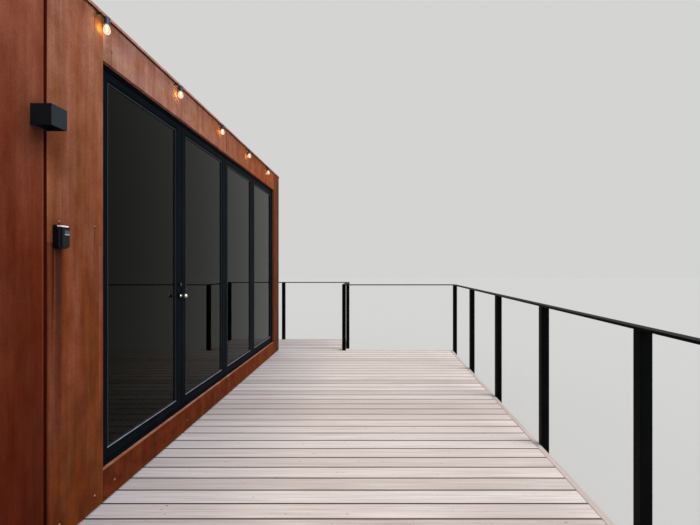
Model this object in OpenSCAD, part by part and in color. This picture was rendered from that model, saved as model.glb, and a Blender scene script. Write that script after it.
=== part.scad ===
// Steel-clad container cabin with a folding glazed front and a railed timber deck.
// All sizes are in millimetres. The origin is on the ground, at the middle of the whole
// footprint. X runs along the facade, the facade faces -Y, and Z points up.

/* [Cabin body] */
// Length of the cabin over its cladding
cabin_len = 6160; // [5900:10:7200]
// Depth of the cabin over its cladding
cabin_depth = 2540; // [2300:10:3000]
// Thickness of the insulated wall core
wall_t = 100; // [80:5:140]
// Height of the steel base frame
base_h = 160; // [120:5:200]
// Thickness of the floor
floor_t = 28; // [18:1:40]
// Thickness of the insulated roof panel
roof_t = 120; // [80:5:140]
// Height of the parapet above the roof panel
parapet_h = 85; // [60:1:105]
// Thickness of the ceiling lining
ceiling_t = 15; // [9:1:25]
// Thickness of the roof membrane
membrane_t = 5; // [3:1:10]
// Gap between the deck and the bottom of the cladding
base_gap = 12; // [8:1:40]

/* [Cladding] */
// Depth of the folded steel cladding trays
clad_t = 28; // [20:1:40]
// Thickness of the weathering steel sheet
sheet_t = 3; // [2:0.5:5]
// Width of the narrow front panel beside the opening
mid_panel_w = 425; // [300:1:600]
// Width of the open shadow joint between tall panels
shadow_gap = 20; // [6:1:28]
// Width of the tight joint between panels
butt_gap = 3; // [2:1:6]
// Leg of the corner angles
trim_leg = 40; // [30:1:60]
// Overhang of the roof cap beyond the cladding
cap_over = 10; // [6:1:30]
// Height of the cap's outer edge
cap_h = 24; // [20:1:40]
// Height of the fascia from the opening to the top of the cladding
fascia_h = 275; // [270:5:400]
// Width of the strips that cover the middle joints of fascia and sill
cover_strip_w = 55; // [30:1:80]

/* [Folding front] */
// Width of the solid wall past the opening
far_wall = 325; // [280:5:500]
// Width of the glazed opening
open_w = 4200; // [3600:10:4600]
// Height of the opening's lower edge above the deck
sill_h = 198; // [194:1:230]
// Height of the opening
open_h = 2419; // [2100:1:2600]
// Width of the door frame that shows round the leaves
frame_face = 25; // [15:1:40]
// Width of the door frame hidden behind the cladding
frame_hide = 38; // [20:1:60]
// Width of a leaf's upright stile
stile_w = 92; // [70:1:110]
// Width of the slimmer stile beside the outer frame
jamb_stile_w = 65; // [50:1:90]
// Height of a leaf's top and bottom rail
rail_w = 70; // [60:1:100]
// Thickness of a leaf
leaf_t = 50; // [44:1:64]
// Gap round each leaf
leaf_gap = 7; // [6:1:9]
// Thickness of the glass unit
glass_t = 28; // [20:1:32]
// Distance of the glass behind the middle of the leaf
glass_shift = 3; // [0:0.5:3.5]
// Depth of the groove that holds the glass
glass_bite = 14; // [8:1:20]
// Width of the glazing bead round the glass
bead_w = 22; // [14:1:30]
// Step from the leaf's face down to the bead
bead_step = 4; // [2:0.5:6]
// Distance of the hinge axis in front of the leaf
hinge_out = 13; // [12:1:16]
// Radius of a hinge knuckle
hinge_r = 8; // [6:0.5:8]
// Height of the door knob above the deck
handle_h = 1156; // [950:2:1250]
// Height of the lock plate above the knob
lock_up = 95; // [70:5:140]
// Distance of the knob's axis from the leaf's closing edge
knob_in = 28; // [26:1:40]
// Radius of the knob's head
knob_r = 17; // [14:0.5:22]
// Distance of the knob's face from the leaf
knob_out = 64; // [58:1:75]

/* [Fittings on the front] */
// Side of the cube wall light
light_a = 100; // [80:1:120]
// Height of the wall light's middle above the deck
light_h = 2110; // [1900:10:2200]
// Width of the key safe
safe_w = 66; // [60:1:80]
// Height of the key safe
safe_h = 120; // [100:1:140]
// Depth of the key safe
safe_d = 45; // [40:1:65]
// Height of the key safe's middle above the deck
safe_z = 1550; // [1300:10:1700]
// Distance of the key safe from the shadow joint
safe_in = 36; // [15:1:60]
// Distance from the near corner to the first lamp
lamp_in = 690; // [400:10:700]
// Distance between the lamps of the light string
lamp_pitch = 940; // [800:10:960]
// Number of lamps in the light string
lamp_count = 6; // [4:1:6]
// Radius of the light string's cable
cable_r = 4; // [3:0.5:5]
// Radius of a lamp
lamp_r = 23; // [18:1:26]
// Length of a lamp
lamp_len = 74; // [60:1:80]

/* [Deck] */
// Width of the deck in front of the cabin
deck_w = 2905; // [2400:5:3600]
// Width of the deck wing past the far end
wing_w = 1070; // [900:10:1400]
// Distance that the wing reaches in front of the facade
wing_front = 1060; // [900:10:1400]
// Thickness of the deck boards
board_t = 25; // [20:1:35]
// Height of the joists
joist_h = 145; // [120:5:200]
// Width of a joist
joist_w = 45; // [38:1:60]
// Largest spacing of the joists
joist_pitch = 480; // [400:10:600]
// Height of the bearers
bearer_h = 120; // [90:5:200]
// Width of a bearer
bearer_w = 95; // [75:5:120]
// Height of the concrete pads under the deck
pad_h = 90; // [60:5:200]
// Side of a concrete pad or pier
pad_a = 250; // [200:10:300]
// Thickness of the board round the deck's edge
edge_t = 40; // [28:1:45]

/* [Railing] */
// Height of the railing above the deck
rail_h = 1100; // [900:10:1200]
// Side of a railing post
post_w = 60; // [50:1:80]
// Thickness of the flat top rail
rail_t = 15; // [10:1:25]
// Number of bays along the front
bays = 5; // [4:1:6]
// Number of bays along the wing
wing_bays = 3; // [2:1:4]

/* [Hidden] */

steel = "saddlebrown";
black = "#1b1d20";

// Heights
deck_z = pad_h + bearer_h + joist_h + board_t;
base_z = deck_z + base_gap;
wall_z = base_z + base_h;
open_z = deck_z + sill_h;
head_z = open_z + open_h;
cap_z = head_z + fascia_h;
roof_top = cap_z - parapet_h;
roof_z = roof_top - roof_t;
edge_h = joist_h + board_t;

// Places along the facade and across it
total_x = cap_over + cabin_len + wing_w + post_w;
total_y = post_w + deck_w + cabin_depth + cap_over;
near_x = cap_over - total_x / 2;
far_x = near_x + cabin_len;
wing_x = far_x + wing_w;
front_y = post_w - total_y / 2;
facade_y = front_y + deck_w;
rear_y = facade_y + cabin_depth;
wing_y = facade_y - wing_front;
core_x0 = near_x + clad_t;
core_x1 = far_x - clad_t;
core_y0 = facade_y + clad_t;
core_y1 = rear_y - clad_t;
in_x0 = core_x0 + wall_t;
in_x1 = core_x1 - wall_t;
in_y0 = core_y0 + wall_t;
in_y1 = core_y1 - wall_t;
deck_tuck = 20;

// The glazed opening and its leaves
near_wall = cabin_len - open_w - far_wall;
near_panel_w = near_wall - mid_panel_w - shadow_gap;
open_x0 = near_x + near_wall;
open_x1 = open_x0 + open_w;
leaf_count = 4;
leaf_z = open_z + frame_face + leaf_gap;
leaf_h = open_h - 2 * frame_face - 2 * leaf_gap;
leaf_w = (open_w - 2 * frame_face - (leaf_count + 1) * leaf_gap) / leaf_count;
leaf_x0 = open_x0 + frame_face + leaf_gap;
leaf_step = leaf_w + leaf_gap;
hinge_x = leaf_x0 - leaf_gap / 2;
hinge_y = core_y0 - hinge_out;
hinge_len = 100;
hinge_flap_t = 3;
stop_gap = 6;
stop_lap = 15;
handle_x = leaf_x0 + leaf_w - knob_in;
handle_z = deck_z + handle_h;
plate_t = 8;
plate_r = 24;

// The light string under the roof cap
lamp_x0 = near_x + lamp_in;
cable_y = facade_y - 26;
cable_drop = 15;
cable_z = cap_z + sheet_t - cap_h - cable_drop;
clip_t = 12;
fit = 0.3;
socket_r = 17;
socket_h = 34;

// A folded tray, open at the back, whose face looks along -Y
module tray(w, h) {
    difference() {
        cube([w, clad_t, h]);
        translate([sheet_t, sheet_t, sheet_t])
            cube([w - 2 * sheet_t, clad_t, h - 2 * sheet_t]);
    }
}

// A level ring between two rectangles, given by their low and high corners
module ring(a, b, c, d, z, h) {
    difference() {
        translate([a[0], a[1], z])
            cube([b[0] - a[0], b[1] - a[1], h]);
        translate([c[0], c[1], z - 1])
            cube([d[0] - c[0], d[1] - c[1], h + 2]);
    }
}

// Concrete pads under the bearers and taller piers under the cabin
front_bearers = 5;
bearer_in = 420;
bearer_xs = [
    for (i = [0 : front_bearers - 1])
        near_x + bearer_in + i * (cabin_len - 2 * bearer_in) / (front_bearers - 1)
];
wing_bearer_in = 260;
wing_bearer_xs = [far_x + wing_bearer_in, wing_x - wing_bearer_in];
pier_in = 150;

module pad(x, y, h) {
    translate([x - pad_a / 2, y - pad_a / 2, 0])
        cube([pad_a, pad_a, h]);
}

module foundation_pads() {
    pier_y0 = facade_y + deck_tuck + pad_a / 2;
    pier_y1 = core_y1 - pad_a / 2;
    pad_in = edge_t + pad_a / 2;
    color("darkgray") {
        for (x = bearer_xs, y = [front_y + pad_in, (front_y + facade_y) / 2, facade_y - pad_in])
            pad(x, y, pad_h);
        for (x = wing_bearer_xs, y = [wing_y + pad_in, (wing_y + rear_y) / 2, rear_y - pad_in])
            pad(x, y, pad_h);
        for (k = [0 : 2], y = [pier_y0, pier_y1])
            pad(core_x0 + pier_in + pad_a / 2 + k * (core_x1 - core_x0 - 2 * pier_in - pad_a) / 2,
                y, base_z);
    }
}

// Timber bearers across the pads
module deck_bearers() {
    color("tan") {
        for (x = bearer_xs)
            translate([x - bearer_w / 2, front_y + edge_t, pad_h])
                cube([bearer_w, deck_w - edge_t + deck_tuck, bearer_h]);
        for (x = wing_bearer_xs)
            translate([x - bearer_w / 2, wing_y + edge_t, pad_h])
                cube([bearer_w, rear_y - wing_y - 2 * edge_t, bearer_h]);
    }
}

// Joists that run with the facade, the boards' own support
function spread(a, b, pitch) =
    let (n = ceil((b - a) / pitch)) [for (i = [0 : n]) a + i * (b - a) / n];

module deck_joists() {
    joist_z = pad_h + bearer_h;
    color("burlywood") {
        for (y = spread(front_y + edge_t, facade_y + deck_tuck - joist_w, joist_pitch))
            translate([near_x + edge_t, y, joist_z])
                cube([cabin_len - 2 * edge_t, joist_w, joist_h]);
        for (y = spread(wing_y + edge_t, rear_y - edge_t - joist_w, joist_pitch))
            translate([far_x - edge_t, y, joist_z])
                cube([wing_w, joist_w, joist_h]);
    }
}

// The walking surface, in two fields inside the edge boards
module deck_boards() {
    color("rosybrown")
        translate([near_x + edge_t, front_y + edge_t, deck_z - board_t])
            cube([cabin_len - 2 * edge_t, deck_w - edge_t + deck_tuck, board_t]);
}

module wing_boards() {
    color("rosybrown")
        translate([far_x - edge_t, wing_y + edge_t, deck_z - board_t])
            cube([wing_w, rear_y - wing_y - 2 * edge_t, board_t]);
}

// One edge board between two corners
module edge(x0, y0, x1, y1) {
    translate([x0, y0, deck_z - edge_h])
        cube([x1 - x0, y1 - y0, edge_h]);
}

module edge_boards() {
    color("peru") {
        edge(near_x, front_y, far_x, front_y + edge_t);
        edge(near_x, front_y, near_x + edge_t, facade_y + deck_tuck);
        edge(far_x - edge_t, front_y, far_x, wing_y);
        edge(far_x - edge_t, wing_y, wing_x, wing_y + edge_t);
        edge(wing_x - edge_t, wing_y, wing_x, rear_y);
        edge(far_x - edge_t, rear_y - edge_t, wing_x, rear_y);
    }
}

// Square posts fixed to the outer face of the edge boards
module post(x, y) {
    translate([x, y, deck_z - edge_h])
        cube([post_w, post_w, edge_h + rail_h - rail_t]);
}

module rail_posts() {
    color(black) {
        for (i = [0 : bays])
            post(near_x + i * (cabin_len - post_w) / bays, front_y - post_w);
        post(far_x, wing_y - post_w);
        post(wing_x - post_w, wing_y - post_w);
        for (i = [1 : wing_bays])
            post(wing_x, wing_y + i * (rear_y - wing_y - post_w) / wing_bays);
    }
}

// Flat bar that turns every corner over the posts
module bar(x0, y0, x1, y1) {
    translate([x0, y0, deck_z + rail_h - rail_t])
        cube([x1 - x0, y1 - y0, rail_t]);
}

module top_rail() {
    color(black) {
        bar(near_x, front_y - post_w, far_x + post_w, front_y);
        bar(far_x, front_y - post_w, far_x + post_w, wing_y);
        bar(far_x, wing_y - post_w, wing_x + post_w, wing_y);
        bar(wing_x, wing_y - post_w, wing_x + post_w, rear_y);
    }
}

// Welded base frame of channels, webs outwards
rail_leg = 60;
rail_web = 6;

module channel(len) {
    rotate([90, 0, 90])
        linear_extrude(len)
            polygon([
                [0, 0], [rail_leg, 0], [rail_leg, rail_web], [rail_web, rail_web],
                [rail_web, base_h - rail_web], [rail_leg, base_h - rail_web],
                [rail_leg, base_h], [0, base_h]
            ]);
}

module base_frame() {
    frame_len = core_x1 - core_x0;
    frame_depth = core_y1 - core_y0;
    color("dimgray") {
        translate([core_x0, core_y0, base_z])
            channel(frame_len);
        translate([core_x1, core_y1, base_z])
            rotate([0, 0, 180])
                channel(frame_len);
        translate([core_x0, core_y1, base_z])
            rotate([0, 0, -90])
                channel(frame_depth);
        translate([core_x1, core_y0, base_z])
            rotate([0, 0, 90])
                channel(frame_depth);
    }
}

// Cross members between the channels' legs, under the floor
cross_h = base_h - 2 * rail_web;
cross_w = 45;
cross_pitch = 610;

module floor_bearers() {
    color("gray")
        for (x = spread(core_x0 + rail_leg, core_x1 - rail_leg - cross_w, cross_pitch))
            translate([x, core_y0 + rail_web, base_z + rail_web])
                cube([cross_w, core_y1 - core_y0 - 2 * rail_web, cross_h]);
}

module floor() {
    color("wheat")
        translate([in_x0, in_y0, wall_z])
            cube([in_x1 - in_x0, in_y1 - in_y0, floor_t]);
}

// Wall slabs, split beside and over the glazed opening
module slab(x0, x1, y0, y1, z0, z1) {
    color("gainsboro")
        translate([x0, y0, z0])
            cube([x1 - x0, y1 - y0, z1 - z0]);
}

module rear_wall() {
    slab(core_x0, core_x1, in_y1, core_y1, wall_z, roof_z);
}

module near_end_wall() {
    slab(core_x0, in_x0, in_y0, in_y1, wall_z, roof_z);
}

module far_end_wall() {
    slab(in_x1, core_x1, in_y0, in_y1, wall_z, roof_z);
}

module front_wall_near() {
    slab(core_x0, open_x0 - frame_hide, core_y0, in_y0, wall_z, roof_z);
}

module front_wall_far() {
    slab(open_x1 + frame_hide, core_x1, core_y0, in_y0, wall_z, roof_z);
}

module lintel() {
    slab(open_x0 - frame_hide, open_x1 + frame_hide, core_y0, in_y0, head_z + frame_hide, roof_z);
}

module ceiling() {
    color("whitesmoke")
        translate([in_x0, in_y0, roof_z - ceiling_t])
            cube([in_x1 - in_x0, in_y1 - in_y0, ceiling_t]);
}

module roof_panel() {
    color("silver")
        translate([core_x0, core_y0, roof_z])
            cube([core_x1 - core_x0, core_y1 - core_y0, roof_t]);
}

module parapet() {
    color("gainsboro")
        ring([core_x0, core_y0], [core_x1, core_y1], [in_x0, in_y0], [in_x1, in_y1],
             roof_top, parapet_h);
}

// Membrane laid on the roof and turned up the parapet's inner face
module roof_membrane() {
    m = [membrane_t, membrane_t];
    color("slategray") {
        translate([in_x0, in_y0, roof_top])
            cube([in_x1 - in_x0, in_y1 - in_y0, membrane_t]);
        ring([in_x0, in_y0], [in_x1, in_y1], [in_x0, in_y0] + m, [in_x1, in_y1] - m,
             roof_top, parapet_h);
    }
}

// Folded cap with an outer and an inner lip, over the parapet and the trays
cap_in = membrane_t + sheet_t + 1;

module roof_cap() {
    lip_z = cap_z + sheet_t - cap_h;
    out0 = [near_x - cap_over, facade_y - cap_over];
    out1 = [far_x + cap_over, rear_y + cap_over];
    in0 = [in_x0 + cap_in, in_y0 + cap_in];
    in1 = [in_x1 - cap_in, in_y1 - cap_in];
    s = [sheet_t, sheet_t];
    color(steel)
        difference() {
            ring(out0, out1, in0, in1, lip_z, cap_h);
            ring(out0 + s, out1 - s, in0 - s, in1 + s, lip_z - 1, cap_h + 1 - sheet_t);
        }
}

// Angles over the four corners of the cladding
module angle_trim() {
    trim_h = cap_z - base_z;
    difference() {
        translate([-sheet_t, -sheet_t, 0])
            cube([trim_leg, trim_leg, trim_h]);
        translate([0, 0, -1])
            cube([trim_leg, trim_leg, trim_h + 2]);
    }
}

module corner_trims() {
    color(steel) {
        translate([near_x, facade_y, base_z])
            angle_trim();
        translate([far_x, facade_y, base_z])
            rotate([0, 0, 90])
                angle_trim();
        translate([far_x, rear_y, base_z])
            rotate([0, 0, 180])
                angle_trim();
        translate([near_x, rear_y, base_z])
            rotate([0, 0, -90])
                angle_trim();
    }
}

// Tall trays beside the opening, with an open shadow joint between the near two
module front_panels() {
    mid_x = near_x + near_panel_w + shadow_gap;
    tall = cap_z - base_z;
    color(steel) {
        translate([near_x, facade_y, base_z])
            tray(near_panel_w, tall);
        translate([mid_x, facade_y, base_z])
            tray(open_x0 - mid_x, tall);
        translate([open_x1, facade_y, base_z])
            tray(far_x - open_x1, tall);
    }
}

// A row of two trays that fills the width of the opening, the first with a strip over the joint
module tray_pair(z, h) {
    half = (open_w - 3 * butt_gap) / 2;
    joint_x = open_x0 + 1.5 * butt_gap + half;
    for (i = [0, 1])
        translate([open_x0 + butt_gap + i * (half + butt_gap), facade_y, z])
            tray(half, h);
    translate([joint_x - cover_strip_w / 2, facade_y - sheet_t, z])
        cube([cover_strip_w, sheet_t, h]);
}

module fascia_panels() {
    color(steel)
        tray_pair(head_z, fascia_h);
}

module sill_panels() {
    color(steel)
        tray_pair(base_z, open_z - base_z);
}

// The unseen sides repeat the tall trays
module rear_cladding() {
    count = 4;
    w = (cabin_len - (count - 1) * shadow_gap) / count;
    color(steel)
        for (i = [0 : count - 1])
            translate([far_x - i * (w + shadow_gap), rear_y, base_z])
                rotate([0, 0, 180])
                    tray(w, cap_z - base_z);
}

module end_cladding() {
    span = cabin_depth - 2 * clad_t;
    w = (span - shadow_gap) / 2;
    color(steel)
        for (i = [0, 1]) {
            translate([near_x, core_y1 - i * (w + shadow_gap), base_z])
                rotate([0, 0, -90])
                    tray(w, cap_z - base_z);
            translate([far_x, core_y0 + i * (w + shadow_gap), base_z])
                rotate([0, 0, 90])
                    tray(w, cap_z - base_z);
        }
}

// Aluminium outer frame, with a stop behind the leaves
module door_frame() {
    frame_x = open_x0 - frame_hide;
    frame_w = open_w + 2 * frame_hide;
    frame_h = head_z + frame_hide - wall_z;
    leaves_w = open_w - 2 * frame_face;
    leaves_h = open_h - 2 * frame_face;
    color(black)
        difference() {
            translate([frame_x, core_y0, wall_z])
                cube([frame_w, wall_t, frame_h]);
            translate([open_x0 + frame_face, core_y0 - 1, open_z + frame_face])
                cube([leaves_w, leaf_t + stop_gap + 1, leaves_h]);
            translate([open_x0 + frame_face + stop_lap, core_y0, open_z + frame_face + stop_lap])
                cube([leaves_w - 2 * stop_lap, wall_t + 1, leaves_h - 2 * stop_lap]);
        }
}

// Left and right edge of the clear glass in leaf i
function clear_x0(i) = leaf_x0 + i * leaf_step + (i == 0 ? jamb_stile_w : stile_w);
function clear_x1(i) = leaf_x0 + i * leaf_step + leaf_w - (i == leaf_count - 1 ? jamb_stile_w : stile_w);

// One leaf: stiles and rails with a groove for the glass and stepped-back glazing beads
module leaf(i) {
    x = clear_x0(i);
    pane_w = clear_x1(i) - x;
    pane_h = leaf_h - 2 * rail_w;
    difference() {
        translate([leaf_x0 + i * leaf_step, core_y0, leaf_z])
            cube([leaf_w, leaf_t, leaf_h]);
        translate([x, core_y0 - 1, leaf_z + rail_w])
            cube([pane_w, leaf_t + 2, pane_h]);
        for (y = [core_y0 - 1, core_y0 + leaf_t - bead_step])
            translate([x - bead_w, y, leaf_z + rail_w - bead_w])
                cube([pane_w + 2 * bead_w, bead_step + 1, pane_h + 2 * bead_w]);
        pane(i);
    }
}

module pane(i) {
    pane_w = clear_x1(i) - clear_x0(i) + 2 * glass_bite;
    pane_y = core_y0 + (leaf_t - glass_t) / 2 + glass_shift;
    translate([clear_x0(i) - glass_bite, pane_y, leaf_z + rail_w - glass_bite])
        cube([pane_w, glass_t, leaf_h - 2 * rail_w + 2 * glass_bite]);
}

module traffic_leaf() {
    color(black)
        leaf(0);
}

module traffic_glass() {
    color("lightblue")
        pane(0);
}

// Each folding leaf stands on two guide shoes in the bottom track
shoe_w = 60;
shoe_in = 30;
shoe_t = 24;

module guide_shoes(i) {
    x = leaf_x0 + i * leaf_step;
    for (dx = [shoe_in, leaf_w - shoe_in - shoe_w])
        translate([x + dx, core_y0 + (leaf_t - shoe_t) / 2, leaf_z - leaf_gap])
            cube([shoe_w, shoe_t, leaf_gap]);
}

module folding_leaves() {
    color(black)
        for (i = [1 : leaf_count - 1]) {
            leaf(i);
            guide_shoes(i);
        }
}

module folding_glass() {
    color("lightblue")
        for (i = [1 : leaf_count - 1])
            pane(i);
}

// Three face-fixed hinges: outer knuckles on the frame and a middle one on the leaf
hinge_zs = [
    leaf_z + 0.1 * leaf_h,
    leaf_z + 0.5 * leaf_h,
    leaf_z + 0.9 * leaf_h
];
knuckle_gap = 1;
flap_w = 20;

module knuckle(z, h) {
    translate([hinge_x, hinge_y, z])
        cylinder(h = h, r = hinge_r, $fn = 48);
}

// A flap on the face, a web to the knuckle, and the knuckle
module hinge_half(z, h, side) {
    flap_x = hinge_x + side * leaf_gap / 2;
    knuckle(z, h);
    translate([side > 0 ? flap_x : flap_x - flap_w, core_y0 - hinge_flap_t, z])
        cube([flap_w, hinge_flap_t, h]);
    translate([side > 0 ? flap_x : flap_x - hinge_flap_t, hinge_y, z])
        cube([hinge_flap_t, core_y0 - hinge_y, h]);
}

// A closed hinge on the inner face, centred on the gap before leaf i
module face_hinge(i, z) {
    translate([leaf_x0 + i * leaf_step - leaf_gap / 2, core_y0 + leaf_t, z - hinge_len / 2]) {
        translate([0, hinge_out, 0])
            cylinder(h = hinge_len, r = hinge_r, $fn = 48);
        translate([-leaf_gap / 2 - flap_w, 0, 0])
            cube([leaf_gap + 2 * flap_w, hinge_flap_t, hinge_len]);
        translate([-hinge_flap_t / 2, 0, 0])
            cube([hinge_flap_t, hinge_out, hinge_len]);
    }
}

// A slender hinge let into the gap before leaf i, with its barrel at depth y
gap_flap_w = 18;
gap_flap_t = 2;

module gap_hinge(i, y, way, z) {
    translate([leaf_x0 + i * leaf_step - leaf_gap / 2, core_y0 + y, z - hinge_len / 2]) {
        cylinder(h = hinge_len, r = leaf_gap / 2, $fn = 32);
        for (x = [-leaf_gap / 2, leaf_gap / 2 - gap_flap_t])
            translate([x, way > 0 ? 0 : -gap_flap_w, 0])
                cube([gap_flap_t, gap_flap_w, hinge_len]);
    }
}

// Fixed hinges: the frame's halves for the traffic leaf, and the folding leaves' own, whose
// barrels lie at the inner and the outer face in turn from the far jamb
module frame_hinges() {
    part_h = hinge_len / 3;
    color(black)
        for (z = hinge_zs) {
            hinge_half(z - hinge_len / 2, part_h, -1);
            hinge_half(z + hinge_len / 2 - part_h, part_h, -1);
            face_hinge(2, z);
            gap_hinge(3, leaf_gap / 2, 1, z);
            gap_hinge(4, leaf_t - leaf_gap / 2, -1, z);
        }
}

module leaf_hinges() {
    part_h = hinge_len / 3 - 2 * knuckle_gap;
    color(black)
        for (z = hinge_zs)
            hinge_half(z - part_h / 2, part_h, 1);
}

// Round plates on both faces of the traffic leaf: the knob's, and the lock's above it
lock_r = 17;

module handle_plates() {
    color("silver")
        for (y = [core_y0 - plate_t, core_y0 + leaf_t]) {
            translate([handle_x, y, handle_z])
                rotate([-90, 0, 0])
                    cylinder(h = plate_t, r = plate_r, $fn = 64);
            translate([handle_x, y, handle_z + lock_up])
                rotate([-90, 0, 0])
                    cylinder(h = plate_t, r = lock_r, $fn = 48);
        }
}

// Knob turned in one piece: a collar, a waisted neck and a ball with a flat face
module knob() {
    out = knob_out - plate_t - fit;
    ball_z = out + 2 - knob_r;
    color("silver")
        translate([handle_x, -plate_t - fit, handle_z])
            rotate([90, 0, 0])
                rotate_extrude($fn = 96)
                    difference() {
                        union() {
                            polygon([
                                [0, 0], [12, 0], [12, 2], [8, 7], [6.5, 13],
                                [6.5, ball_z - knob_r + 4], [8, ball_z], [0, ball_z]
                            ]);
                            translate([0, ball_z])
                                circle(r = knob_r, $fn = 96);
                        }
                        translate([-2 * knob_r, -1])
                            square([2 * knob_r, out + knob_r]);
                        translate([-1, out])
                            square([knob_r + 1, knob_r]);
                    }
}

module door_knobs() {
    translate([0, core_y0, 0])
        knob();
    translate([0, core_y0 + leaf_t, 0])
        mirror([0, 1, 0])
            knob();
}

// Cube light with a well above and below for its two lenses
light_wall = 6;
light_well = 40;
light_x = near_x + near_panel_w + shadow_gap - light_a;
light_z = deck_z + light_h - light_a / 2;
light_in = light_a - 2 * light_wall;
lens_t = 5;

module wall_light() {
    color(black)
        translate([light_x, facade_y - light_a, light_z])
            difference() {
                cube(light_a);
                for (z = [light_a - light_well, -1])
                    translate([light_wall, light_wall, z])
                        cube([light_in, light_in, light_well + 1]);
            }
}

module light_lens() {
    color("ivory")
        for (dz = [light_well - lens_t, light_a - light_well])
            translate([light_x + light_wall, facade_y - light_a + light_wall, light_z + dz])
                cube([light_in, light_in, lens_t]);
}

// Moulded key safe with rounded corners and a sliding front cover
safe_corner = 12;
cover_t = 8;
cover_in = 6;

module rounded_plate(w, h, t, r) {
    rotate([90, 0, 0])
        linear_extrude(t)
            hull()
                for (x = [r, w - r], z = [r, h - r])
                    translate([x, z])
                        circle(r = r, $fn = 32);
}

safe_x = near_x + near_panel_w + shadow_gap + safe_in;

module key_safe() {
    color("#26282b")
        translate([safe_x, facade_y, deck_z + safe_z - safe_h / 2])
            rounded_plate(safe_w, safe_h, safe_d - cover_t, safe_corner);
}

module key_safe_cover() {
    color("#33363a")
        translate([safe_x + cover_in, facade_y - safe_d + cover_t,
                   deck_z + safe_z - safe_h / 2 + cover_in])
            rounded_plate(safe_w - 2 * cover_in, safe_h - 2 * cover_in, cover_t,
                          safe_corner - cover_in / 2);
}

// Clips that hold the cable of the light string off the fascia
clip_in = 60;
lamp_xs = [for (i = [0 : lamp_count - 1]) lamp_x0 + i * lamp_pitch];
clip_xs = [for (i = [0 : lamp_count - 1]) lamp_xs[i] - clip_in];
cable_end = 40;

module cable_clips() {
    clip_r = cable_r + 3;
    color("dimgray")
        for (x = clip_xs)
            difference() {
                union() {
                    translate([x, cable_y, cable_z])
                        rotate([0, 90, 0])
                            cylinder(h = clip_t, r = clip_r, $fn = 48);
                    translate([x, cable_y, cable_z - clip_r / 2])
                        cube([clip_t, facade_y - cable_y, clip_r]);
                }
                translate([x - 1, cable_y, cable_z])
                    rotate([0, 90, 0])
                        cylinder(h = clip_t + 2, r = cable_r + fit, $fn = 48);
            }
}

module light_cable() {
    x0 = clip_xs[0] - 2 * cable_end;
    len = lamp_xs[lamp_count - 1] + 2 * cable_end - x0;
    color(black)
        translate([x0, cable_y, cable_z])
            rotate([0, 90, 0]) {
                cylinder(h = len, r = cable_r, $fn = 24);
                cylinder(h = cable_end / 2, r = cable_r + 2, $fn = 24);
                translate([0, 0, len - cable_end / 2])
                    cylinder(h = cable_end / 2, r = cable_r + 2, $fn = 24);
            }
}

module lamp_sockets() {
    color(black)
        for (x = lamp_xs)
            difference() {
                translate([x, cable_y, cable_z - socket_h])
                    cylinder(h = socket_h + cable_r + 3, r = socket_r, $fn = 48);
                translate([x - socket_r - 1, cable_y, cable_z])
                    rotate([0, 90, 0])
                        cylinder(h = 2 * socket_r + 2, r = cable_r + fit, $fn = 48);
            }
}

// Clear lamps, turned from a neck, a shoulder and a round crown
module lamp() {
    neck_r = socket_r - 2;
    color("lightyellow")
        rotate_extrude($fn = 64)
            difference() {
                union() {
                    translate([0, lamp_r - lamp_len])
                        circle(r = lamp_r, $fn = 64);
                    polygon([
                        [0, lamp_r - lamp_len], [lamp_r, lamp_r - lamp_len],
                        [neck_r, -8], [neck_r, 0], [0, 0]
                    ]);
                }
                translate([-2 * lamp_r, -2 * lamp_len])
                    square([2 * lamp_r, 4 * lamp_len]);
            }
}

module lamps() {
    for (x = lamp_xs)
        translate([x, cable_y, cable_z - socket_h])
            lamp();
}

foundation_pads();
deck_bearers();
deck_joists();
deck_boards();
wing_boards();
edge_boards();
rail_posts();
top_rail();
base_frame();
floor_bearers();
floor();
rear_wall();
near_end_wall();
far_end_wall();
front_wall_near();
front_wall_far();
lintel();
ceiling();
roof_panel();
parapet();
roof_membrane();
roof_cap();
corner_trims();
front_panels();
fascia_panels();
sill_panels();
rear_cladding();
end_cladding();
door_frame();
traffic_leaf();
traffic_glass();
folding_leaves();
folding_glass();
frame_hinges();
leaf_hinges();
handle_plates();
door_knobs();
wall_light();
light_lens();
key_safe();
key_safe_cover();
cable_clips();
light_cable();
lamp_sockets();
lamps();
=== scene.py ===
import math

import bmesh
import bpy
from mathutils import Matrix, Vector


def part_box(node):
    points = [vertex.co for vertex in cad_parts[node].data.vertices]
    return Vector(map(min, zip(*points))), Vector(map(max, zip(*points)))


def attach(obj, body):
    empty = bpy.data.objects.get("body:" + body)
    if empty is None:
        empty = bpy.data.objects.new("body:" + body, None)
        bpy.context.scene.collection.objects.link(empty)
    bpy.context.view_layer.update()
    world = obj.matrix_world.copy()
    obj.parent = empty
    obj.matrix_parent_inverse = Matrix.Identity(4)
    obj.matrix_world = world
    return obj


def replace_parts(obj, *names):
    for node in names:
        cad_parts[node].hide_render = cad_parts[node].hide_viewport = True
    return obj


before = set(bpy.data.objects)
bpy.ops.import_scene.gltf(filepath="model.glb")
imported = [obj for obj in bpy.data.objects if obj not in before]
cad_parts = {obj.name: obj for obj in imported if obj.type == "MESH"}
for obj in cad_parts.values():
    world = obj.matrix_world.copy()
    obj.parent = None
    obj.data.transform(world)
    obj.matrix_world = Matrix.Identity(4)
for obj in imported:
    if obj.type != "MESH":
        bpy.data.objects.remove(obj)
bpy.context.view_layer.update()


# Camera
# It stands on the deck near the facade and looks along it, level, with a wide lens. The small
# shift puts the vanishing point where the photograph has it.
eye = bpy.data.cameras.new("eye")
eye.sensor_width = 36.0
eye.lens = 21.6
eye.shift_x = -0.0349
eye.shift_y = 0.0056
camera = bpy.data.objects.new("eye", eye)
bpy.context.scene.collection.objects.link(camera)
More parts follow.
